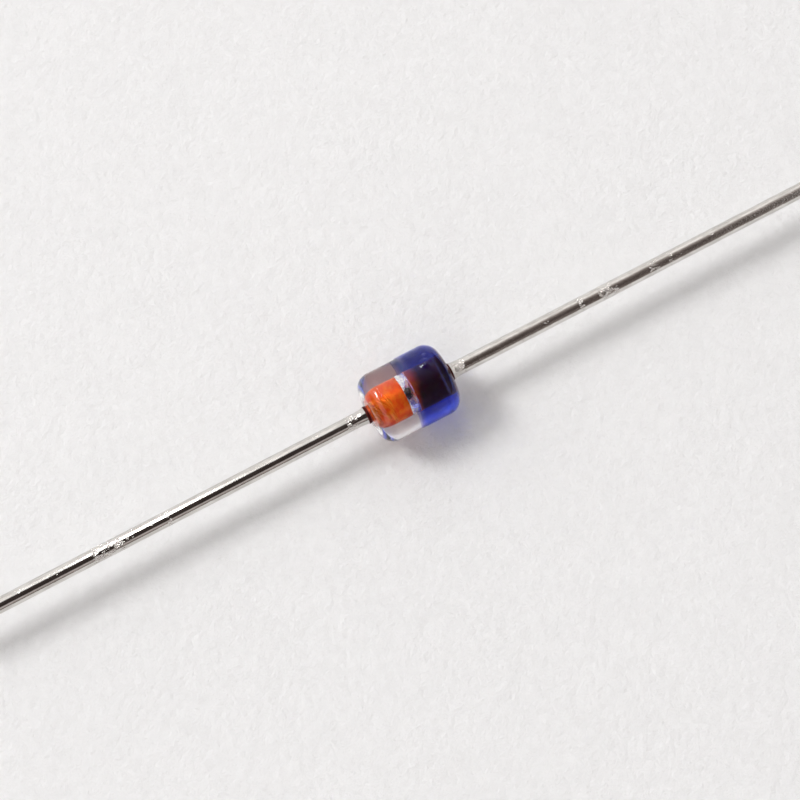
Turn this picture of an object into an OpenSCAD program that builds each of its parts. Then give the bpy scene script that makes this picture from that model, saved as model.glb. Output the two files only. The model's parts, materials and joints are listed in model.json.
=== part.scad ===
// Miniature axial diode sealed in glass. Two slugs press a silicon chip between them inside a
// clear sleeve, a wire lead is welded to the neck of each slug, and a lacquer band marks the
// cathode. The axis is X and runs from the anode to the cathode, Z is up, and the origin is the
// middle of the sleeve. All sizes are in millimetres.

/* [Glass sleeve] */
// Outside diameter of the sleeve
glass_d = 1.9; // [1.6:0.05:2.6]
// Length of the sleeve from end face to end face
glass_len = 2.25; // [1.6:0.05:4]
// Radius of the fire-rounded outer ends
end_round = 0.38; // [0.1:0.02:0.46]
// Thickness of the glass lip that closes over each slug's shoulder
lip_t = 0.05; // [0.02:0.01:0.15]

/* [Slugs] */
// Diameter of the slugs, and so the bore of the sleeve
slug_d = 0.72; // [0.58:0.02:0.88]
// Rounding of the slug edges that face the chip
slug_edge = 0.02; // [0.01:0.01:0.06]
// Diameter of the neck where it leaves the shoulder
neck_d = 0.48; // [0.46:0.01:0.54]
// How far each neck stands out of the sleeve
neck_out = 0.12; // [0.02:0.01:0.2]
// Width of the ring of flash that the weld leaves on the neck
flash_w = 0.08; // [0.04:0.01:0.12]

/* [Chip] */
// Edge of the square chip
chip_w = 0.25; // [0.22:0.01:0.38]
// Thickness of the chip
chip_t = 0.16; // [0.08:0.01:0.24]
// Diameter of the contact bump
bump_d = 0.2; // [0.12:0.01:0.22]
// Height of the contact bump
bump_h = 0.05; // [0.03:0.01:0.1]
// Middle of the gap between the slugs, measured from the middle of the sleeve
gap_x = -0.06; // [-0.2:0.02:0.2]

/* [Leads] */
// Diameter of the lead wire
lead_d = 0.4; // [0.3:0.01:0.42]
// Length over the cut ends of both leads
overall_len = 26; // [12:1:80]
// Diameter of the weld bead at the root of each lead
weld_d = 0.46; // [0.43:0.01:0.48]
// Length over which the bead falls to the wire
bead_len = 0.1; // [0.08:0.01:0.2]
// Rounding of the cut ends
tip_round = 0.04; // [0.01:0.01:0.1]

/* [Cathode band] */
// Thickness of the lacquer
band_t = 0.02; // [0.01:0.005:0.05]
// Inner edge of the band, measured from the middle of the sleeve
band_x = 0.08; // [-0.3:0.01:0.4]
// Clear glass left between the band and the cathode end face
band_margin = 0.1; // [0.02:0.01:0.3]

/* [Hidden] */
$fn = 96;

glass_r = glass_d / 2;
glass_half = glass_len / 2;
slug_r = slug_d / 2;
neck_r = neck_d / 2;
weld_r = weld_d / 2;
lead_r = lead_d / 2;

// The shoulder turns from the slug's side to its neck just under the glass lip
shoulder_round = slug_r - neck_r;
lip_y = glass_half - lip_t;
shoulder_y = lip_y - shoulder_round;
weld_y = glass_half + neck_out;

// The gap is as wide as the chip and its bump together
gap = chip_t + bump_h;
anode_face = gap_x - gap / 2;
cathode_face = gap_x + gap / 2;
chip_face = cathode_face - chip_t;
bump_round = bump_h / 2;

// The bead falls from the weld's diameter to the wire's along one arc
bead_h = weld_r - lead_r;
bead_arc = (bead_len * bead_len + bead_h * bead_h) / (2 * bead_h);
bead_y = weld_y + bead_len;
lead_end = overall_len / 2;

clear_glass = [0.80, 0.85, 0.88, 0.40];
oxide_red = [0.80, 0.26, 0.08];
chip_black = [0.09, 0.09, 0.11];
bump_silver = [0.85, 0.85, 0.87];
tinned = [0.74, 0.74, 0.72];
band_blue = [0.10, 0.14, 0.62, 0.75];

// Half profiles lie in the first quadrant: x is the radius and y the place along the axis
module lathe() rotate([0, 90, 0]) rotate_extrude() children();

module box_from(r0, y0, r1, y1) translate([r0, y0]) square([r1 - r0, y1 - y0]);

module corner_round(r, y, radius) translate([r, y]) circle(radius);

// Outside of the sleeve, or of a coat of lacquer on it
module sleeve_outline(coat = 0) {
    flat_r = glass_r - end_round;
    barrel_y = glass_half - end_round;
    box_from(0, -glass_half - coat, flat_r, glass_half + coat);
    box_from(0, -barrel_y, glass_r + coat, barrel_y);
    for (end = [-1, 1]) corner_round(flat_r, end * barrel_y, end_round + coat);
}

// One slug with its chip face at the given place and its neck, which tapers to the wire, at the
// cathode end
module slug_outline(face) {
    box_from(0, face, slug_r - slug_edge, shoulder_y);
    box_from(0, face + slug_edge, slug_r, shoulder_y);
    corner_round(slug_r - slug_edge, face + slug_edge, slug_edge);
    corner_round(neck_r, shoulder_y, shoulder_round);
    box_from(0, face, neck_r, lip_y);
    polygon([[0, lip_y], [neck_r, lip_y], [lead_r, weld_y], [0, weld_y]]);
    corner_round(neck_r - flash_w / 2, weld_y - flash_w / 2, flash_w / 2);
}

module anode_slug_outline() mirror([0, 1]) slug_outline(-anode_face);

module cathode_slug_outline() slug_outline(cathode_face);

// One lead, with the weld bead at its root, from the end of a slug's neck outwards
module lead_outline() {
    intersection() {
        corner_round(weld_r - bead_arc, weld_y, bead_arc);
        box_from(0, weld_y, weld_r, bead_y);
    }
    box_from(0, bead_y, lead_r, lead_end - tip_round);
    box_from(0, bead_y, lead_r - tip_round, lead_end);
    corner_round(lead_r - tip_round, lead_end - tip_round, tip_round);
}

module glass_sleeve() color(clear_glass) lathe() difference() {
    sleeve_outline();
    anode_slug_outline();
    cathode_slug_outline();
    box_from(0, anode_face - slug_edge, slug_r, cathode_face + slug_edge);
}

module anode_slug() color(oxide_red) lathe() anode_slug_outline();

module cathode_slug() color(oxide_red) lathe() cathode_slug_outline();

module silicon_chip() color(chip_black)
    translate([chip_face, -chip_w / 2, -chip_w / 2]) cube([chip_t, chip_w, chip_w]);

module contact_bump() color(bump_silver) lathe() {
    bump_r = bump_d / 2;
    box_from(0, anode_face, bump_r - bump_round, chip_face);
    box_from(0, anode_face + bump_round, bump_r, chip_face);
    corner_round(bump_r - bump_round, anode_face + bump_round, bump_round);
}

module anode_lead() color(tinned) lathe() mirror([0, 1]) lead_outline();

module cathode_lead() color(tinned) lathe() lead_outline();

module cathode_band() color(band_blue) lathe() intersection() {
    difference() {
        sleeve_outline(band_t);
        sleeve_outline();
    }
    box_from(0, band_x, glass_d, glass_half - band_margin);
}

glass_sleeve();
anode_slug();
cathode_slug();
silicon_chip();
contact_bump();
anode_lead();
cathode_lead();
cathode_band();
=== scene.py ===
"""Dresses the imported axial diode: a fused glass sleeve over oxide-red slugs and a chip, a blue
lacquer band and tinned leads, lying on a sheet of rough white paper."""

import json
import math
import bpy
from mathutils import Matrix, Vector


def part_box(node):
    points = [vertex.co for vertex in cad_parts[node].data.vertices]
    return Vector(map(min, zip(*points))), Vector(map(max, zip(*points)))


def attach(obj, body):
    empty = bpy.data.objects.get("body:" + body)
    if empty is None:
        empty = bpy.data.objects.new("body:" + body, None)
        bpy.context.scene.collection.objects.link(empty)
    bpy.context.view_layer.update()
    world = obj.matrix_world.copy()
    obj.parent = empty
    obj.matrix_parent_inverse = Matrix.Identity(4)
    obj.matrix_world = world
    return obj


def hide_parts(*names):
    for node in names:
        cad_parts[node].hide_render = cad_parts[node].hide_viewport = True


bl_info = {
    "name": "Glass Axial Diode",
    "version": (1, 0, 0),
    "blender": (4, 5, 0),
    "location": "3D View > Sidebar > Diode",
    "description": "Builds a glass-sealed axial diode and its tabletop around the packed CAD frame",
    "category": "Add Mesh",
}

import bmesh
import bpy
from bpy.props import FloatProperty, FloatVectorProperty, PointerProperty
from bpy.types import Operator, Panel, PropertyGroup
from mathutils import Matrix, Vector

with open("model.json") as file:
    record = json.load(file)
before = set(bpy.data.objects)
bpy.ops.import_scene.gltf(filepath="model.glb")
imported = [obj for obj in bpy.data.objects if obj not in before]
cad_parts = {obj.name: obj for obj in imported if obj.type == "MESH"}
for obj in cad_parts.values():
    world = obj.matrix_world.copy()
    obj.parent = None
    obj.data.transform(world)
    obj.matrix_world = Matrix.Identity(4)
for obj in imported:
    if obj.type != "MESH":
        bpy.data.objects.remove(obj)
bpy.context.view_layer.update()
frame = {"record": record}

MM = 0.001
PER_MM = 1000.0
# How finely the turned shapes are cut
MERGE = 1e-8
ARC_STEPS = 16
EDGE_STEPS = 4
TURN_STEPS = 160
STRAIGHT_CUTS = 24
LONG_EDGE = 0.1 * MM
SMOOTH_ANGLE = math.radians(28)

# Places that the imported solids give
SLEEVE_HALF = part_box("glass_sleeve")[1].x
SLEEVE_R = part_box("glass_sleeve")[1].z
SLUG_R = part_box("anode_slug")[1].z
ANODE_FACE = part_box("anode_slug")[1].x
CATHODE_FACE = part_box("cathode_slug")[0].x
WELD_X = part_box("cathode_slug")[1].x
WELD_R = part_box("cathode_lead")[1].z
LEAD_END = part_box("cathode_lead")[1].x
BAND_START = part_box("cathode_band")[0].x
BAND_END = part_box("cathode_band")[1].x
BAND_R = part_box("cathode_band")[1].z
WIRE_R = frame["record"]["mounts"][0]["dims"]["r_mm"] * MM
# The spring of the leads holds the sleeve just clear of the paper
PAPER_GAP = 0.17 * MM
PAPER_Z = -BAND_R - PAPER_GAP


def length(name, description, default):
    """A length property that is shown in the scene's units."""
    return FloatProperty(name=name, description=description, default=default, min=0.0,
                         unit="LENGTH", precision=6)


def angle(name, description, degrees):
    """An angle property."""
    return FloatProperty(name=name, description=description, default=math.radians(degrees),
                         subtype="ANGLE")


def level(name, description, default):
    """A brightness property."""
    return FloatProperty(name=name, description=description, default=default, min=0.0)


def colour(name, description, default):
    """A linear colour property."""
    return FloatVectorProperty(name=name, description=description, default=default, size=3,
                               subtype="COLOR", min=0.0, max=1.0)


class DiodeShape(PropertyGroup):
    """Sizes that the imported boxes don't give."""
    end_round: length("Sleeve end rounding", "Radius of the fire-rounded sleeve ends", 0.38 * MM)
    lip: length("Lip", "Thickness of the glass lip over each slug's shoulder", 0.05 * MM)
    neck_r: length("Neck radius", "Radius of the slug's neck at its shoulder", 0.24 * MM)
    slug_edge: length("Slug edge", "Rounding of the slug edge at the chip", 0.02 * MM)
    flash_w: length("Flash width", "Width of the ring of weld flash on the neck", 0.08 * MM)
    flash_edge: length("Flash edge", "Rounding of the weld flash", 0.02 * MM)
    fuse: length("Fused depth", "How far the glass sinks into the slug's oxide", 0.003 * MM)
    chip_edge: length("Chip edge", "Break of the sawn chip's edges", 0.008 * MM)
    bump_round: length("Bump rounding", "Rounding of the contact bump", 0.025 * MM)
    flare_len: length("Flare length", "Length over which a lead flares to its weld", 0.28 * MM)
    tip_round: length("Tip rounding", "Rounding of the cut end of a lead", 0.04 * MM)
    band_edge: length("Band edge", "Rounding of the lacquer's rim", 0.006 * MM)
    band_gap: length("Band gap", "Gap between the lacquer and the glass under it", 0.003 * MM)
    band_spread: length("Band spread", "How far the thin lacquer spreads past the band", 0.065 * MM)
    band_feather: length("Band feather", "Length over which the brushed edge thickens", 0.17 * MM)
    band_wrap: angle("Band wrap", "How far past the band its lacquer runs round the end", 20)
    band_skew: length("Band skew", "How far the brushed edge runs askew", 0.081 * MM)
    band_turn: angle("Band turn", "Where round the sleeve the edge is furthest in", 71.5)
    band_wave: length("Band wave", "How far the brushed edge waves", 0.040 * MM)
    band_wave_turn: angle("Band wave turn", "Where round the sleeve the waves crest", 22)
    band_smear: length("Band smear", "How far the brush drew the edge out near the top", 0.10 * MM)
    smear_feather: length("Smear feather", "How much slower the drawn-out edge thickens", 0.20 * MM)


class DiodeFinish(PropertyGroup):
    """Colours of the diode's materials."""
    glass: colour("Glass", "Tint of the sleeve", (0.975, 0.98, 0.985))
    glass_haze: colour("Glass, hazy", "Tint of the sleeve where it is hazy", (0.95, 0.955, 0.965))
    # Painted shade: a pink tint low on the sleeve for the slug's reflected orange light
    painted_pink_shade: colour("Draw line", "Tint of the streak drawn along the sleeve", (0.62, 0.32, 0.32))
    oxide_light: colour("Oxide, light", "Bright orange of the slug's oxide", (1.0, 0.17, 0.005))
    oxide_dark: colour("Oxide, dark", "Deep red of the slug's oxide", (0.95, 0.07, 0.002))
    # Painted highlight: a pale pink glint on the cathode slug's rim
    rim: colour("Rim", "Pale bare metal on the cathode slug's rim", (1.0, 0.84, 0.84))
    oxide_worn: colour("Oxide, worn", "Yellow of the rubbed folds", (1.0, 0.24, 0.018))
    neck: colour("Neck", "Red-brown of the slug's bare neck", (0.30, 0.045, 0.02))
    # Also the colour that the cathode slug's oxide turns towards its end under the band
    flash: colour("Flash", "Dark maroon of the weld flash", (0.07, 0.010, 0.008))
    chip: colour("Chip", "Sawn silicon", (0.020, 0.016, 0.014))
    chip_dust: colour("Chip dust", "Pale saw marks on the silicon", (0.07, 0.06, 0.055))
    silver: colour("Silver", "Plated contact bump", (0.86, 0.86, 0.88))
    tarnish: colour("Tarnish", "Dull grey on the silver", (0.45, 0.44, 0.44))
    tin: colour("Tin", "Bright tin of the leads", (0.76, 0.74, 0.71))
    tin_shade: colour("Tin, shaded", "Duller clouds in the tin", (0.62, 0.60, 0.57))
    scuff: colour("Scuff", "Bare grey in the scuffs of the leads", (0.80, 0.77, 0.73))
    lacquer: colour("Lacquer", "Blue of the cathode band", (0.11, 0.24, 0.97))
    lacquer_thick: colour("Lacquer, thick", "Blue of its thicker clouds", (0.07, 0.15, 0.93))
    # Darker blue of the back run, and of a stripe of painted shade low on the front
    lacquer_run_and_shade: colour("Lacquer, run", "Blue where the lacquer has run", (0.08, 0.11, 0.74))
    lacquer_thin: colour("Lacquer, thin", "Blue of the thin brushed edge", (0.55, 0.52, 0.87))
    lacquer_end: colour("Lacquer, end", "Violet grey where it thins out", (0.42, 0.36, 0.50))
    paper: colour("Paper", "Colour of the paper", (0.83, 0.832, 0.833))
    paper_fibre: colour("Paper fibre", "Darker fibres of the paper", (0.81, 0.812, 0.813))


class TabletopSettings(PropertyGroup):
    """Light and camera."""
    key: level("Key", "Brightness of the key lamp's face", 18.6)
    room: level("Room", "Brightness of the room", 1.30)
    anode_end: level("Anode end", "Brightness of the window past the anode lead", 1.0)
    cathode_end: level("Cathode end", "Brightness of the window past the cathode lead", 0.75)
    end_wall: level("End wall", "Brightness of the wall below both windows", 0.14)
    azimuth: angle("Azimuth", "Turn of the camera about the vertical", -28.46)
    elevation: angle("Elevation", "Height of the camera's view", 73.0)
    distance: length("Distance", "Distance from the camera to the diode", 50.0 * MM)
    field: length("Field", "Width of the picture at the diode", 20.49 * MM)


def wire_outline(shape, corners, closed=False):
    """Joins (place, radius, rounding) corners into an outline and rounds the corners that ask."""
    verts = [shape.verts.new((place, 0.0, radius)) for place, radius, _ in corners]
    for start, end in zip(verts, verts[1:] + verts[:1] if closed else verts[1:]):
        shape.edges.new((start, end))
    for vert, (_, _, rounding) in zip(verts, corners):
        if rounding:
            bmesh.ops.bevel(shape, geom=[vert], offset=rounding, offset_type="OFFSET",
                            segments=ARC_STEPS, profile=0.5, affect="VERTICES", material=-1)


def turn(shape):
    """Cuts up the outline's straight runs and spins it a full turn about the lead axis."""
    bmesh.ops.remove_doubles(shape, verts=shape.verts[:], dist=MERGE)
    straight = [edge for edge in shape.edges if edge.calc_length() > LONG_EDGE]
    bmesh.ops.subdivide_edges(shape, edges=straight, cuts=STRAIGHT_CUTS)
    bmesh.ops.spin(shape, geom=shape.verts[:] + shape.edges[:], cent=(0, 0, 0), axis=(1, 0, 0),
                   dvec=(0, 0, 0), angle=math.tau, steps=TURN_STEPS, use_merge=True)
    bmesh.ops.remove_doubles(shape, verts=shape.verts[:], dist=MERGE)


def face_anode(shape):
    """Turns a cathode-side shape round to the anode side."""
    bmesh.ops.rotate(shape, cent=(0, 0, 0), matrix=Matrix.Rotation(math.pi, 3, "Z"),
                     verts=shape.verts[:])


def finish_piece(shape, name, material, node):
    """Makes the object of a shape, hangs it on the root body and hides the CAD node it stands for.
    """
    bmesh.ops.recalc_face_normals(shape, faces=shape.faces[:])
    if shape.calc_volume(signed=True) < 0:
        bmesh.ops.reverse_faces(shape, faces=shape.faces[:])
    for face in shape.faces:
        face.smooth = True
    mesh = bpy.data.meshes.new(name)
    shape.to_mesh(mesh)
    shape.free()
    mesh.set_sharp_from_angle(angle=SMOOTH_ANGLE)
    mesh.materials.append(material)
    piece = bpy.data.objects.new(name, mesh)
    bpy.context.scene.collection.objects.link(piece)
    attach(piece, "root")
    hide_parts(node)


def opaque(tone):
    """A colour with its alpha."""
    return (*tone, 1.0)


# The share of a soft mask's half width over which it is full
MASK_CORE = 0.4


class Nodes:
    """Short calls for wiring one node tree."""

    def __init__(self, tree):
        self.tree = tree

    def add(self, kind, settings=None, **inputs):
        """Adds a node, sets its options, and sets or links its inputs by name."""
        node = self.tree.nodes.new(kind)
        for key, value in (settings or {}).items():
            setattr(node, key, value)
        for key, value in inputs.items():
            self.feed(node, key.replace("_", " "), value)
        return node

    def feed(self, node, key, value):
        """Links an output socket to a node's input, or sets the input's own value."""
        socket = node.inputs[key]
        if isinstance(value, bpy.types.NodeSocket):
            self.tree.links.new(value, socket)
        else:
            socket.default_value = value

    def math(self, operation, first, second=0.0):
        """One sum of two values."""
        node = self.add("ShaderNodeMath", {"operation": operation})
        self.feed(node, 0, first)
        self.feed(node, 1, second)
        return node.outputs[0]

    def rescale(self, value, low, high, to_low=0.0, to_high=1.0):
        """Carries a value smoothly from one range to another."""
        node = self.add("ShaderNodeMapRange", {"interpolation_type": "SMOOTHSTEP"}, Value=value,
                        From_Min=low, From_Max=high, To_Min=to_low, To_Max=to_high)
        return node.outputs["Result"]

    def blend(self, factor, low, high):
        """Mixes two colours by a mask."""
        node = self.add("ShaderNodeMix", {"data_type": "RGBA"}, Factor=factor)
        for key, tone in ((6, low), (7, high)):
            linked = isinstance(tone, bpy.types.NodeSocket)
            self.feed(node, key, tone if linked else opaque(tone))
        return node.outputs[2]

    def clouds(self, where, scale, detail=5.0, roughness=0.6):
        """Noise with so many features to the metre."""
        return self.add("ShaderNodeTexNoise", Vector=where, Scale=scale, Detail=detail,
                        Roughness=roughness).outputs["Fac"]

    def stretch(self, where, along, lean=0.0):
        """Stretches a pattern along the lead axis, or along a line that leans from it."""
        return self.add("ShaderNodeMapping", {"vector_type": "TEXTURE"}, Vector=where,
                        Rotation=(0.0, 0.0, lean), Scale=(along, 1.0, 1.0)).outputs["Vector"]

    def place(self):
        """Object coordinates, and apart: along the lead axis, back and up."""
        where = self.add("ShaderNodeTexCoord").outputs["Object"]
        return where, *self.add("ShaderNodeSeparateXYZ", Vector=where).outputs

    def span(self, mask, low, high):
        """Carries a mask onto two values."""
        return self.rescale(mask, 0.0, 1.0, low, high)

    def window(self, value, centre, half):
        """A soft mask round one place along the lead axis, or round one angle."""
        away = self.math("ABSOLUTE", self.math("SUBTRACT", value, centre))
        return self.rescale(away, MASK_CORE * half, half, 1.0, 0.0)

    def effect(self, group, **inputs):
        """Places a shared effect with its own values and returns its outputs."""
        node = self.add("ShaderNodeGroup", {"node_tree": group()}, **inputs)
        return node.outputs

    def bump(self, shader, height, depth):
        """Raises a shader's surface by a height pattern, to a depth in metres."""
        relief = self.add("ShaderNodeBump", Height=height, Distance=depth)
        self.feed(shader, "Normal", relief.outputs["Normal"])


def shared_effect(name, inputs, outputs, wire):
    """Builds a node group once: named sockets, and a function that wires them."""
    tree = bpy.data.node_groups.get(name)
    if tree is None:
        tree = bpy.data.node_groups.new(name, "ShaderNodeTree")
        for way, sockets in (("INPUT", inputs), ("OUTPUT", outputs)):
            for socket, kind in sockets:
                tree.interface.new_socket(name=socket, in_out=way,
                                          socket_type=f"NodeSocket{kind}")
        nodes = Nodes(tree)
        results = wire(nodes, nodes.add("NodeGroupInput").outputs)
        nodes.add("NodeGroupOutput", **results)
    return tree


def tone_drift():
    """Clouds that drift between a light and a dark tone."""
    def wire(nodes, given):
        mist = nodes.clouds(given["Vector"], given["Scale"])
        drift = nodes.rescale(mist, 0.36, 0.64)
        return {"Color": nodes.blend(drift, given["Dark"], given["Light"]), "Level": drift}
    return shared_effect(
        "tone_drift",
        (("Vector", "Vector"), ("Scale", "Float"), ("Light", "Color"), ("Dark", "Color")),
        (("Color", "Color"), ("Level", "Float")), wire)


def worn_skin():
    """Scuffs and pits that cover a share of a surface."""
    def wire(nodes, given):
        broad = nodes.clouds(given["Vector"], nodes.math("MULTIPLY", given["Scale"], 0.35), 2.0)
        fine = nodes.clouds(given["Vector"], given["Scale"], 3.0)
        both = nodes.math("ADD", nodes.math("MULTIPLY", broad, 0.45),
                          nodes.math("MULTIPLY", fine, 0.55))
        mask = nodes.rescale(nodes.math("ADD", both, given["Cover"]), 0.93, 1.10)
        pits = nodes.math("MULTIPLY", mask, fine)
        return {"Mask": mask, "Height": nodes.math("SUBTRACT", nodes.math("MULTIPLY", fine, 0.05),
                                                   pits)}
    return shared_effect(
        "worn_skin", (("Vector", "Vector"), ("Scale", "Float"), ("Cover", "Float")),
        (("Mask", "Float"), ("Height", "Float")), wire)


def flow_ripple():
    """Slow waves left by a skin that set while it flowed."""
    def wire(nodes, given):
        waves = nodes.add("ShaderNodeTexNoise", Vector=given["Vector"], Scale=given["Scale"],
                          Detail=1.5, Roughness=0.4, Distortion=0.6).outputs["Fac"]
        return {"Height": waves}
    return shared_effect("flow_ripple", (("Vector", "Vector"), ("Scale", "Float")),
                         (("Height", "Float"),), wire)


def new_material(name):
    """An empty node material with its output and Principled shader."""
    material = bpy.data.materials.new(name)
    material.use_nodes = True
    material.node_tree.nodes.clear()
    nodes = Nodes(material.node_tree)
    shader = nodes.add("ShaderNodeBsdfPrincipled")
    nodes.add("ShaderNodeOutputMaterial", Surface=shader.outputs[0])
    return material, nodes, shader


# Painted pink shade for the slug's reflected light: its angle back from the top and half width
PAINTED_PINK_SHADE = (math.radians(154), math.radians(19))
# How far out from the lead axis the wrinkles of the gap's wall reach, and how many times deeper
# than the waves they are
WRINKLED = (0.40 * MM, 0.50 * MM)
WRINKLE_DEPTH = 2.5


def glass_material(finish):
    """Clear glass with slow waves, faint haze, a painted pink shade and a wrinkled wall in the gap.
    """
    material, nodes, shader = new_material("clear_fused_glass")
    where, _, back, up = nodes.place()
    turned = nodes.math("ARCTAN2", back, up)
    out = nodes.math("SQRT", nodes.math("ADD", nodes.math("POWER", back, 2.0),
                                        nodes.math("POWER", up, 2.0)))
    wrinkle = nodes.math("MULTIPLY", nodes.clouds(where, 9.0 * PER_MM, 2.0),
                         nodes.rescale(out, *WRINKLED, WRINKLE_DEPTH, 0.0))
    haze = nodes.effect(tone_drift, Vector=where, Scale=2.2 * PER_MM,
                        Light=opaque(finish.glass), Dark=opaque(finish.glass_haze))
    ripple = nodes.effect(flow_ripple, Vector=where, Scale=1.6 * PER_MM)
    # The pink tint is painted shade, standing in for the slug's reflected orange light
    nodes.feed(shader, "Base Color", nodes.blend(nodes.window(turned, *PAINTED_PINK_SHADE), haze["Color"],
                                                 finish.painted_pink_shade))
    nodes.feed(shader, "Roughness", nodes.span(haze["Level"], 0.03, 0.0))
    nodes.feed(shader, "IOR", 1.52)
    nodes.feed(shader, "Transmission Weight", 1.0)
    nodes.bump(shader, nodes.math("ADD", ripple["Height"], wrinkle), 0.010 * MM)
    return material


# Thick lacquer at the back, painted shade at the front: each one's angle back from the top and half
# width
BACK_RUN = (math.radians(48), math.radians(80))
FRONT_SHADE = (math.radians(-50), math.radians(20))
# Where the brush drew the lacquer's edge out thin: the angle back from the top and half width
SMEAR = (math.radians(5), math.radians(27))
# Where the lacquer thins out over the sleeve's end
END_THINS = (1.00 * MM, 1.08 * MM)


def soft_mask(value, centre, half):
    """The soft mask of Nodes.window, for one number."""
    away = (abs(value - centre) / half - MASK_CORE) / (1 - MASK_CORE)
    away = min(max(away, 0.0), 1.0)
    return 1 - away * away * (3 - 2 * away)


def edge_shift(form, turned):
    """How far along the axis the brushed edge lies from the band's at one angle round it."""
    return (form.band_skew * math.cos(turned - form.band_turn)
            + form.band_wave * math.cos(2 * (turned - form.band_wave_turn))
            - form.band_smear * soft_mask(turned, *SMEAR) - form.band_spread)


def lacquer_material(finish, form):
    """See-through blue lacquer with a wet gloss, thinned towards the edge that edge_shift gives."""
    material, nodes, shader = new_material("blue_lacquer")
    where, along, back, up = nodes.place()
    turned = nodes.math("ARCTAN2", back, up)
    skew = nodes.math("COSINE", nodes.math("SUBTRACT", turned, form.band_turn))
    wave = nodes.math("COSINE", nodes.math("MULTIPLY", nodes.math(
        "SUBTRACT", turned, form.band_wave_turn), 2.0))
    shift = nodes.math("ADD", nodes.math("MULTIPLY", skew, form.band_skew),
                       nodes.math("MULTIPLY", wave, form.band_wave))
    smear = nodes.window(turned, *SMEAR)
    shift = nodes.math("SUBTRACT", shift, nodes.math("MULTIPLY", smear, form.band_smear))
    inside = nodes.math("SUBTRACT", along, shift)
    start = BAND_START - form.band_spread
    full = nodes.math("ADD", nodes.math("MULTIPLY", smear, form.smear_feather),
                      start + form.band_feather)
    thick = nodes.rescale(inside, start, full)
    runs = nodes.effect(tone_drift, Vector=where, Scale=1.8 * PER_MM,
                        Light=opaque(finish.lacquer), Dark=opaque(finish.lacquer_thick))
    ripple = nodes.effect(flow_ripple, Vector=where, Scale=2.6 * PER_MM)
    # The front stripe is painted shade, low on the band's front
    run = nodes.math("MAXIMUM", nodes.window(turned, *BACK_RUN),
                     nodes.window(turned, *FRONT_SHADE))
    body = nodes.blend(run, runs["Color"], finish.lacquer_run_and_shade)
    body = nodes.blend(nodes.rescale(along, *END_THINS), body, finish.lacquer_end)
    nodes.feed(shader, "Base Color", nodes.blend(thick, finish.lacquer_thin, body))
    nodes.feed(shader, "Roughness", nodes.span(runs["Level"], 0.02, 0.0))
    nodes.feed(shader, "IOR", 1.0)
    nodes.feed(shader, "Transmission Weight", 1.0)
    nodes.feed(shader, "Coat Weight", 1.0)
    nodes.feed(shader, "Coat Roughness", 0.08)
    nodes.feed(shader, "Coat IOR", 1.4)
    nodes.bump(shader, ripple["Height"], 0.012 * MM)
    return material


# The folded stretch of the anode slug: its middle and half length, and how far the folds lean
FOLDS = (-0.74 * MM, 0.34 * MM)
FOLD_LEAN = math.radians(20)
# Half length of the painted glint on the rim at the chip end of the cathode slug
RIM_GLINT_HALF = 0.05 * MM
# Where along the axis the cathode slug's oxide under the band turns dark maroon towards its end,
# where on both slugs the neck is bare, and where its weld flash starts
DARKENED_END = (0.80 * MM, 0.95 * MM)
BARE_NECK = (SLEEVE_HALF - 0.03 * MM, SLEEVE_HALF + 0.02 * MM)
FLASH_START = (WELD_X - 0.09 * MM, WELD_X - 0.07 * MM)


def oxide_material(finish):
    """Orange copper oxide, wrinkled and rubbed yellow under the glass, dark on the bare neck."""
    material, nodes, shader = new_material("copper_oxide")
    where, along, _, _ = nodes.place()
    drift = nodes.effect(tone_drift, Vector=where, Scale=7.0 * PER_MM,
                         Light=opaque(finish.oxide_light), Dark=opaque(finish.oxide_dark))
    wear = nodes.effect(worn_skin, Vector=nodes.stretch(where, 0.35), Scale=9.0 * PER_MM,
                        Cover=0.36)
    ridges = nodes.clouds(nodes.stretch(where, 0.2, FOLD_LEAN), 2.6 * PER_MM, 2.0, 0.5)
    folds = nodes.math("MULTIPLY", nodes.rescale(ridges, 0.50, 0.74),
                       nodes.window(along, *FOLDS))
    rubbed = nodes.blend(nodes.math("MAXIMUM", wear["Mask"], folds), drift["Color"],
                         finish.oxide_worn)
    # A painted highlight: a pale pink glint round the cathode slug's rim by the chip
    rim = nodes.math("MULTIPLY", nodes.window(along, CATHODE_FACE, RIM_GLINT_HALF),
                     nodes.rescale(nodes.clouds(where, 6.0 * PER_MM), 0.35, 0.6))
    rubbed = nodes.blend(rim, rubbed, finish.rim)
    from_middle = nodes.math("ABSOLUTE", along)
    darkened = nodes.math("MAXIMUM", nodes.rescale(along, *DARKENED_END),
                       nodes.rescale(from_middle, *FLASH_START))
    tone = nodes.blend(nodes.rescale(from_middle, *BARE_NECK), rubbed, finish.neck)
    nodes.feed(shader, "Base Color", nodes.blend(darkened, tone, finish.flash))
    nodes.feed(shader, "Roughness", nodes.span(wear["Mask"], 0.38, 0.24))
    nodes.feed(shader, "Metallic", 0.35)
    nodes.feed(shader, "Specular IOR Level", 0.15)
    nodes.bump(shader, nodes.math("ADD", nodes.math("MULTIPLY", folds, 1.6), wear["Height"]),
               0.010 * MM)
    return material


def silicon_material(finish):
    """Dark silicon with the dust and chips of the saw."""
    material, nodes, shader = new_material("sawn_silicon")
    where = nodes.place()[0]
    drift = nodes.effect(tone_drift, Vector=nodes.stretch(where, 3.0), Scale=30.0 * PER_MM,
                         Light=opaque(finish.chip_dust), Dark=opaque(finish.chip))
    chips = nodes.effect(worn_skin, Vector=where, Scale=26.0 * PER_MM, Cover=0.38)
    nodes.feed(shader, "Base Color", drift["Color"])
    nodes.feed(shader, "Roughness", nodes.span(chips["Mask"], 0.22, 0.5))
    nodes.feed(shader, "Metallic", 0.6)
    nodes.bump(shader, chips["Height"], 0.004 * MM)
    return material


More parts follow.
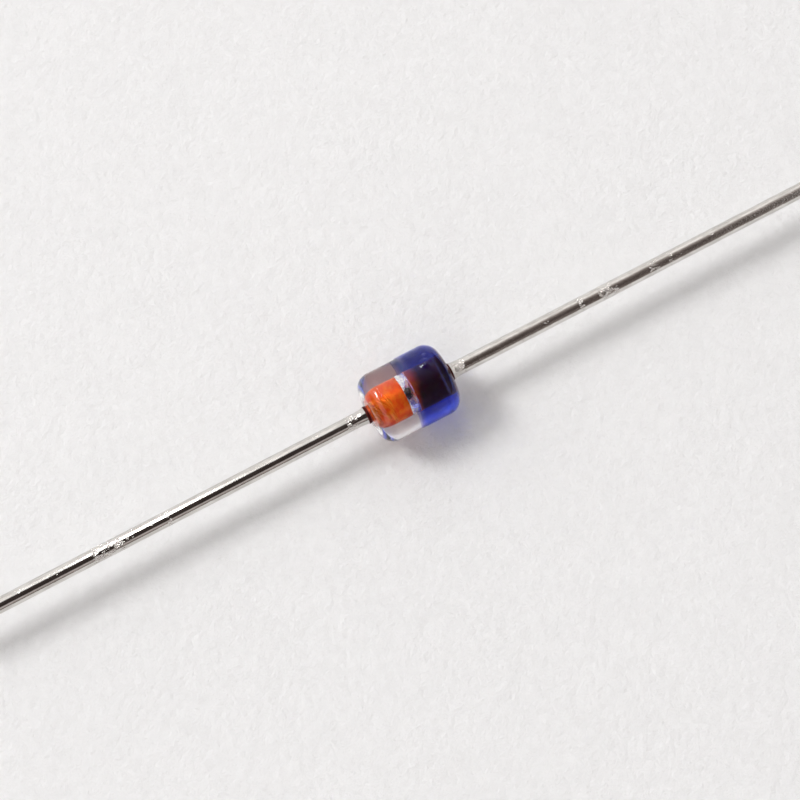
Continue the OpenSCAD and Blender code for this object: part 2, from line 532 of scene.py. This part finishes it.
def silver_material(finish):
    """Plated silver with a dull tarnish in its pits."""
    material, nodes, shader = new_material("plated_silver")
    where = nodes.place()[0]
    drift = nodes.effect(tone_drift, Vector=where, Scale=14.0 * PER_MM,
                         Light=opaque(finish.silver), Dark=opaque(finish.tarnish))
    pits = nodes.effect(worn_skin, Vector=where, Scale=20.0 * PER_MM, Cover=0.4)
    nodes.feed(shader, "Base Color", drift["Color"])
    nodes.feed(shader, "Roughness", nodes.span(pits["Mask"], 0.18, 0.42))
    nodes.feed(shader, "Metallic", 1.0)
    nodes.bump(shader, pits["Height"], 0.006 * MM)
    return material


# Scuffed stretches of each lead: middle and half length in millimetres
SCUFFS = {"anode": ((-8.4, 0.95), (-6.87, 0.1), (-1.65, 0.22)),
          "cathode": ((1.42, 0.3), (5.07, 0.1), (5.9, 0.4), (7.25, 0.22), (7.75, 0.1))}
# How much of the wear shows on the plain wire and in the scuffs
SCUFF_COVER = (0.30, 0.47)
# Roughness and height of the grain of the tin on each lead: the cathode lead is duller
POLISH = {"anode": (0.10, 0.01), "cathode": (0.13, 0.12)}


def tin_material(finish, side):
    """Bright tin with faint drawing lines and scuffed stretches."""
    material, nodes, shader = new_material(f"tinned_{side}_wire")
    where, along, _, _ = nodes.place()
    drift = nodes.effect(tone_drift, Vector=nodes.stretch(where, 4.0), Scale=9.0 * PER_MM,
                         Light=opaque(finish.tin), Dark=opaque(finish.tin_shade))
    scuffed = 0.0
    for middle, half in SCUFFS[side]:
        scuffed = nodes.math("ADD", nodes.window(along, middle * MM, half * MM), scuffed)
    skin = nodes.effect(worn_skin, Vector=nodes.stretch(where, 2.2), Scale=13.0 * PER_MM,
                        Cover=nodes.span(scuffed, *SCUFF_COVER))
    nodes.feed(shader, "Base Color", nodes.blend(skin["Mask"], drift["Color"], finish.scuff))
    polish, grain = POLISH[side]
    grains = nodes.math("MULTIPLY", nodes.clouds(where, 22.0 * PER_MM, 2.0), grain)
    nodes.feed(shader, "Roughness", nodes.span(skin["Mask"], polish, 0.24))
    nodes.feed(shader, "Metallic", 1.0)
    nodes.bump(shader, nodes.math("ADD", skin["Height"], grains), 0.024 * MM)
    return material


def paper_material(finish):
    """Rough white paper that softens the shadow on it."""
    material, nodes, shader = new_material("rough_paper")
    where = nodes.place()[0]
    fibre = nodes.effect(tone_drift, Vector=where, Scale=3.0 * PER_MM,
                         Light=opaque(finish.paper), Dark=opaque(finish.paper_fibre))
    tooth = nodes.clouds(where, 5.0 * PER_MM, 4.0, 0.6)
    nodes.feed(shader, "Base Color", fibre["Color"])
    nodes.feed(shader, "Roughness", nodes.rescale(tooth, 0.3, 0.7, 0.95, 0.8))
    nodes.feed(shader, "Specular IOR Level", 0.1)
    shader.subsurface_method = "BURLEY"
    nodes.feed(shader, "Subsurface Weight", 1.0)
    nodes.feed(shader, "Subsurface Radius", (1.0, 1.0, 1.0))
    nodes.feed(shader, "Subsurface Scale", 0.2 * MM)
    nodes.bump(shader, tooth, 0.045 * MM)
    return material


class DIODE_OT_build_sleeve(Operator):
    """Turn the glass sleeve, with the bore that its slugs are fused into"""
    bl_idname = "diode.build_sleeve"
    bl_label = "Build Glass Sleeve"

    def execute(self, context):
        form = context.scene.diode_shape
        bore = SLUG_R - form.fuse
        neck = form.neck_r - form.fuse
        lip = SLEEVE_HALF - form.lip - form.fuse
        taper = (form.neck_r - WIRE_R) / (WELD_X - SLEEVE_HALF + form.lip)
        hole = neck - taper * form.lip
        shoulder = SLUG_R - form.neck_r
        shape = bmesh.new()
        wire_outline(shape, [
            (-SLEEVE_HALF, hole, 0), (-SLEEVE_HALF, SLEEVE_R, form.end_round),
            (SLEEVE_HALF, SLEEVE_R, form.end_round), (SLEEVE_HALF, hole, 0),
            (lip, neck, 0), (lip, bore, shoulder), (CATHODE_FACE, bore, 0),
            (ANODE_FACE, bore, 0), (-lip, bore, shoulder), (-lip, neck, 0),
        ], closed=True)
        turn(shape)
        finish_piece(shape, "sleeve_fused_glass", glass_material(context.scene.diode_finish),
                     "glass_sleeve")
        return {"FINISHED"}


class DIODE_OT_build_slugs(Operator):
    """Turn the two slugs with their rounded shoulders, tapered necks and weld flash"""
    bl_idname = "diode.build_slugs"
    bl_label = "Build Slugs"

    def execute(self, context):
        form = context.scene.diode_shape
        material = oxide_material(context.scene.diode_finish)
        shoulder = SLUG_R - form.neck_r
        lip = SLEEVE_HALF - form.lip
        flash = WELD_X - form.flash_w
        taper = (form.neck_r - WIRE_R) / (WELD_X - lip)
        for side, face in (("anode", -ANODE_FACE), ("cathode", CATHODE_FACE)):
            shape = bmesh.new()
            wire_outline(shape, [
                (face, 0, 0), (face, SLUG_R, form.slug_edge), (lip, SLUG_R, shoulder),
                (lip, form.neck_r, 0), (flash, form.neck_r - taper * (flash - lip), 0),
                (flash, form.neck_r, form.flash_edge), (WELD_X, form.neck_r, form.flash_edge),
                (WELD_X, 0, 0),
            ])
            turn(shape)
            if side == "anode":
                face_anode(shape)
            finish_piece(shape, f"slug_{side}_side", material, f"{side}_slug")
        return {"FINISHED"}


class DIODE_OT_build_chip(Operator):
    """Cut the square chip and break its sawn edges"""
    bl_idname = "diode.build_chip"
    bl_label = "Build Chip"

    def execute(self, context):
        low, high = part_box("silicon_chip")
        shape = bmesh.new()
        bmesh.ops.create_cube(shape, size=1.0)
        bmesh.ops.scale(shape, vec=high - low, verts=shape.verts[:])
        bmesh.ops.translate(shape, vec=(low + high) / 2, verts=shape.verts[:])
        bmesh.ops.bevel(shape, geom=shape.edges[:], offset=context.scene.diode_shape.chip_edge,
                        offset_type="OFFSET", segments=2, profile=0.5, affect="EDGES",
                        material=-1)
        finish_piece(shape, "chip_die", silicon_material(context.scene.diode_finish),
                     "silicon_chip")
        return {"FINISHED"}


class DIODE_OT_build_bump(Operator):
    """Turn the silver contact bump between the chip and the anode slug"""
    bl_idname = "diode.build_bump"
    bl_label = "Build Contact Bump"

    def execute(self, context):
        low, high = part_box("contact_bump")
        shape = bmesh.new()
        wire_outline(shape, [
            (low.x, 0, 0), (low.x, high.z, context.scene.diode_shape.bump_round),
            (high.x, high.z, 0), (high.x, 0, 0),
        ])
        turn(shape)
        finish_piece(shape, "chip_contact_bump", silver_material(context.scene.diode_finish),
                     "contact_bump")
        return {"FINISHED"}


class DIODE_OT_build_leads(Operator):
    """Turn the two wire leads, each flared where it is welded"""
    bl_idname = "diode.build_leads"
    bl_label = "Build Leads"

    def execute(self, context):
        form = context.scene.diode_shape
        drop = WELD_R - WIRE_R
        flare = form.flare_len
        tangent = (flare * flare + drop * drop) / (2 * flare)
        for side in ("anode", "cathode"):
            shape = bmesh.new()
            wire_outline(shape, [
                (WELD_X, 0, 0), (WELD_X, WELD_R, 0), (WELD_X + flare - tangent, WIRE_R, tangent),
                (LEAD_END, WIRE_R, form.tip_round), (LEAD_END, 0, 0),
            ])
            turn(shape)
            if side == "anode":
                face_anode(shape)
            finish_piece(shape, f"lead_{side}_wire",
                         tin_material(context.scene.diode_finish, side),
                         f"{side}_lead")
        return {"FINISHED"}


# Blisters in the lacquer: place along the axis, angle back from the top, radius and height
BLISTERS = ((0.62 * MM, math.radians(15), 0.17 * MM, 0.046 * MM),
            (0.70 * MM, math.radians(29), 0.085 * MM, 0.024 * MM))
# How much finer the skin is cut at a blister, and out to how many times its radius
BLISTER_CUTS = 4
BLISTER_REACH = 1.6


def raise_blister(shape, centre, radius, height):
    """Cuts the lacquer's skin finer round one point and lifts it into a pointed drop."""
    skin = (SLEEVE_R + BAND_R) / 2
    near = [edge for edge in shape.edges if all(
        (vert.co - centre).length < BLISTER_REACH * radius and vert.co.yz.length > skin
        for vert in edge.verts)]
    bmesh.ops.subdivide_edges(shape, edges=near, cuts=BLISTER_CUTS, use_grid_fill=True)
    bmesh.ops.triangulate(shape, faces=[face for face in shape.faces if len(face.verts) > 4],
                          ngon_method="BEAUTY")
    outward = Vector((0, centre.y, centre.z)).normalized()
    for vert in shape.verts:
        rise = 1 - (vert.co - centre).length / radius
        if rise > 0 and vert.co.yz.length > skin:
            vert.co += outward * height * rise * (3 - rise * rise) / 2


class DIODE_OT_build_band(Operator):
    """Turn the lacquer band that follows the sleeve round its cathode end"""
    bl_idname = "diode.build_band"
    bl_label = "Build Cathode Band"

    def execute(self, context):
        form = context.scene.diode_shape
        barrel = SLEEVE_HALF - form.end_round
        centre = Vector((barrel, 0, SLEEVE_R - form.end_round))
        shape = bmesh.new()
        ends = []
        for radius in (SLEEVE_R + form.band_gap, BAND_R):
            start = shape.verts.new((BAND_START, 0, radius))
            corner = shape.verts.new((barrel, 0, radius))
            shape.edges.new((start, corner))
            swing = math.asin((BAND_END - barrel) / (radius - centre.z)) + form.band_wrap
            arc = bmesh.ops.spin(shape, geom=[corner], cent=centre, axis=(0, 1, 0),
                                 dvec=(0, 0, 0), angle=swing, steps=ARC_STEPS)
            last = [item for item in arc["geom_last"] if isinstance(item, bmesh.types.BMVert)][0]
            ends.append((start, last))
        for inner, outer in zip(*ends):
            shape.edges.new((inner, outer))
        for outer in ends[1]:
            bmesh.ops.bevel(shape, geom=[outer], offset=form.band_edge, offset_type="OFFSET",
                            segments=EDGE_STEPS, profile=0.5, affect="VERTICES", material=-1)
        turn(shape)
        for vert in shape.verts:
            shift = edge_shift(form, math.atan2(vert.co.y, vert.co.z))
            vert.co.x += shift * max(0.0, (barrel - vert.co.x) / (barrel - BAND_START))
        for middle, back, radius, height in BLISTERS:
            top = Vector((middle, BAND_R * math.sin(back), BAND_R * math.cos(back)))
            raise_blister(shape, top, radius, height)
        finish_piece(shape, "band_blue_lacquer", lacquer_material(context.scene.diode_finish, form),
                     "cathode_band")
        return {"FINISHED"}


# Half the width of the sheet in metres, wide enough to fill the view from every side
PAPER_HALF = 0.6


def lay_paper(finish):
    """The sheet of paper that the diode lies on."""
    shape = bmesh.new()
    bmesh.ops.create_grid(shape, x_segments=1, y_segments=1, size=PAPER_HALF)
    bmesh.ops.translate(shape, vec=(0, 0, PAPER_Z), verts=shape.verts[:])
    mesh = bpy.data.meshes.new("paper_sheet")
    shape.to_mesh(mesh)
    shape.free()
    mesh.materials.append(paper_material(finish))
    paper = bpy.data.objects.new("paper_sheet", mesh)
    bpy.context.scene.collection.objects.link(paper)


# The way from the diode to the key lamp, and the distance to every lamp in metres
KEY_DIRECTION = Vector((-0.61, 0.63, 1.0)).normalized()
LAMP_DISTANCE = 0.4
# Each lamp: turn from the key's direction, half width and half height in degrees, and brightness
# as a share of the key's
LAMPS = {"key_lamp": (0, 7.0, 8.5, 1.0), "strip_lamp": (-3, 1.4, 19, 0.4),
         "side_lamp": (26, 1.4, 17, 0.45)}


def hang_lamps(table):
    """A soft key lamp at the back left, and two narrow strips beside it."""
    tall = KEY_DIRECTION.cross(Vector((1, 0, 0))).normalized()
    for name, (turned, half_width, half_height, share) in LAMPS.items():
        toward = Matrix.Rotation(math.radians(turned), 3, tall) @ KEY_DIRECTION
        lamp = bpy.data.lights.new(name, "AREA")
        lamp.shape = "RECTANGLE"
        lamp.size = 2 * LAMP_DISTANCE * math.tan(math.radians(half_width))
        lamp.size_y = 2 * LAMP_DISTANCE * math.tan(math.radians(half_height))
        lamp.energy = share * table.key * math.pi * lamp.size * lamp.size_y
        lamp_object = bpy.data.objects.new(name, lamp)
        lamp_object.location = toward * LAMP_DISTANCE
        facing = Matrix((tall.cross(toward), tall, toward)).transposed()
        lamp_object.rotation_euler = facing.to_euler()
        bpy.context.scene.collection.objects.link(lamp_object)


# Brightness of the room by degrees from the camera, across the leads: front is below zero. The
# anode side faces a window and the cathode side a wall.
WINDOW_SIDE = ((-84, 0.42), (-72, 0.18), (-60, 0.25), (-48, 0.40), (-38, 0.45), (-29, 0.035),
               (25, 0.035), (37, 0.82), (60, 0.82), (84, 0.75))
WALL_SIDE = ((-84, 0.65), (-74, 0.50), (-64, 0.20), (-54, 0.12), (-31, 0.08), (-9, 0.07),
             (13, 0.12), (24, 0.20), (36, 0.32), (46, 0.56), (58, 0.86), (70, 0.86), (84, 0.70))
# How far along the leads, from 0 overhead to 1 level, the cathode side's wall starts, and the
# windows past both leads start and end
WALL_START = (0.115, 0.15)
WINDOW_TOP = (0.36, 0.50)
ANODE_SILL = (0.74, 0.88)
CATHODE_SILL = (0.60, 0.72)
# Share of green and of blue in the darkest brown
DARK_TINT = (0.72, 0.64)


def warm(brightness):
    """The colour of a brightness of the room: white where it is bright, brown where it is dark."""
    tint = math.sqrt(brightness)
    green, blue = (low + (1 - low) * tint for low in DARK_TINT)
    return brightness, brightness * green, brightness * blue


def light_room(table, overhead):
    """A room that is bright behind, dimmer in front and dark overhead."""
    world = bpy.data.worlds.new("room")
    bpy.context.scene.world = world
    world.use_nodes = True
    world.node_tree.nodes.clear()
    nodes = Nodes(world.node_tree)
    where = nodes.add("ShaderNodeTexCoord").outputs["Generated"]
    toward = Vector((0, overhead.y, overhead.z)).normalized()
    behind = Vector((0, toward.z, -toward.y))
    sides = []
    for axis in (behind, toward):
        side = nodes.add("ShaderNodeVectorMath", {"operation": "DOT_PRODUCT"})
        nodes.feed(side, 0, where)
        nodes.feed(side, 1, axis)
        sides.append(side.outputs["Value"])
    swing = nodes.math("ARCTAN2", *sides)
    place = nodes.add("ShaderNodeMapRange", Value=swing, From_Min=-math.pi / 2,
                      From_Max=math.pi / 2)
    ramps = []
    for stops in (WINDOW_SIDE, WALL_SIDE):
        ramp = nodes.add("ShaderNodeValToRGB", Fac=place.outputs["Result"])
        marks = ramp.color_ramp.elements
        while len(marks) < len(stops):
            marks.new(0.5)
        for mark, (degrees, brightness) in zip(marks, stops):
            mark.position = (degrees + 90) / 180
            mark.color = opaque(warm(brightness))
        ramps.append(ramp.outputs["Color"])
    along = nodes.add("ShaderNodeSeparateXYZ", Vector=where).outputs["X"]
    light = nodes.blend(nodes.rescale(along, *WALL_START), *ramps)
    for way, sill, brightness in ((-1.0, ANODE_SILL, table.anode_end),
                                  (1.0, CATHODE_SILL, table.cathode_end)):
        outward = nodes.math("MULTIPLY", along, way)
        light = nodes.blend(nodes.rescale(outward, *WINDOW_TOP), light, warm(brightness))
        light = nodes.blend(nodes.rescale(outward, *sill), light, warm(table.end_wall))
    sky = nodes.add("ShaderNodeBackground", Color=light, Strength=table.room)
    nodes.add("ShaderNodeOutputWorld", Surface=sky.outputs[0])


# Width of the photograph in pixels and of the camera's sensor in millimetres
PHOTO_PIXELS = 800
SENSOR = 36.0
# Nearest and furthest distance that the camera sees, in metres
CLIP = (0.001, 10.0)
# Where the middle of the sleeve lies in the picture, in pixels right of and above its middle
MIDDLE_RIGHT = 8.4
MIDDLE_UP = 6.5


def aim_camera(table):
    """The camera at the photograph's angle; returns the direction from the diode to it."""
    across = Vector((math.cos(table.azimuth), math.sin(table.azimuth), 0))
    ahead = Vector((-math.sin(table.azimuth), math.cos(table.azimuth), 0))
    view = ahead * math.cos(table.elevation) - Vector((0, 0, 1)) * math.sin(table.elevation)
    up = across.cross(view)
    pixel = table.field / PHOTO_PIXELS
    target = -across * MIDDLE_RIGHT * pixel - up * MIDDLE_UP * pixel
    camera = bpy.data.cameras.new("photo_camera")
    camera.sensor_width = SENSOR
    camera.lens = SENSOR * table.distance / table.field
    camera.clip_start, camera.clip_end = CLIP
    camera_object = bpy.data.objects.new("photo_camera", camera)
    camera_object.location = target - view * table.distance
    camera_object.rotation_euler = view.to_track_quat("-Z", "Y").to_euler()
    bpy.context.scene.collection.objects.link(camera_object)
    bpy.context.scene.camera = camera_object
    return -view


class DIODE_OT_set_stage(Operator):
    """Lay the paper, hang the lamps, light the room and aim the camera"""
    bl_idname = "diode.set_stage"
    bl_label = "Set Stage"

    def execute(self, context):
        table = context.scene.diode_tabletop
        lay_paper(context.scene.diode_finish)
        hang_lamps(table)
        light_room(table, aim_camera(table))
        context.scene.view_settings.view_transform = "Standard"
        return {"FINISHED"}


class DIODE_PT_panel(Panel):
    """Lists the diode's building steps"""
    bl_idname = "DIODE_PT_panel"
    bl_label = "Glass Axial Diode"
    bl_space_type = "VIEW_3D"
    bl_region_type = "UI"
    bl_category = "Diode"

    def draw(self, context):
        for step in STEPS:
            self.layout.operator(step.bl_idname)


STEPS = (DIODE_OT_build_sleeve, DIODE_OT_build_slugs, DIODE_OT_build_chip, DIODE_OT_build_bump,
         DIODE_OT_build_leads, DIODE_OT_build_band, DIODE_OT_set_stage)
GROUPS = {"diode_shape": DiodeShape, "diode_finish": DiodeFinish,
          "diode_tabletop": TabletopSettings}


def register():
    """Registers the classes and hangs the settings on the scene."""
    for kind in (*GROUPS.values(), *STEPS, DIODE_PT_panel):
        bpy.utils.register_class(kind)
    for name, kind in GROUPS.items():
        setattr(bpy.types.Scene, name, PointerProperty(type=kind))


def unregister():
    """Takes the settings off the scene and unregisters the classes."""
    for name in GROUPS:
        delattr(bpy.types.Scene, name)
    for kind in reversed((*GROUPS.values(), *STEPS, DIODE_PT_panel)):
        bpy.utils.unregister_class(kind)


def main():
    """Builds the diode and its stage."""
    register()
    bpy.ops.diode.build_sleeve()
    bpy.ops.diode.build_slugs()
    bpy.ops.diode.build_chip()
    bpy.ops.diode.build_bump()
    bpy.ops.diode.build_leads()
    bpy.ops.diode.build_band()
    bpy.ops.diode.set_stage()


if __name__ == "__main__":
    main()
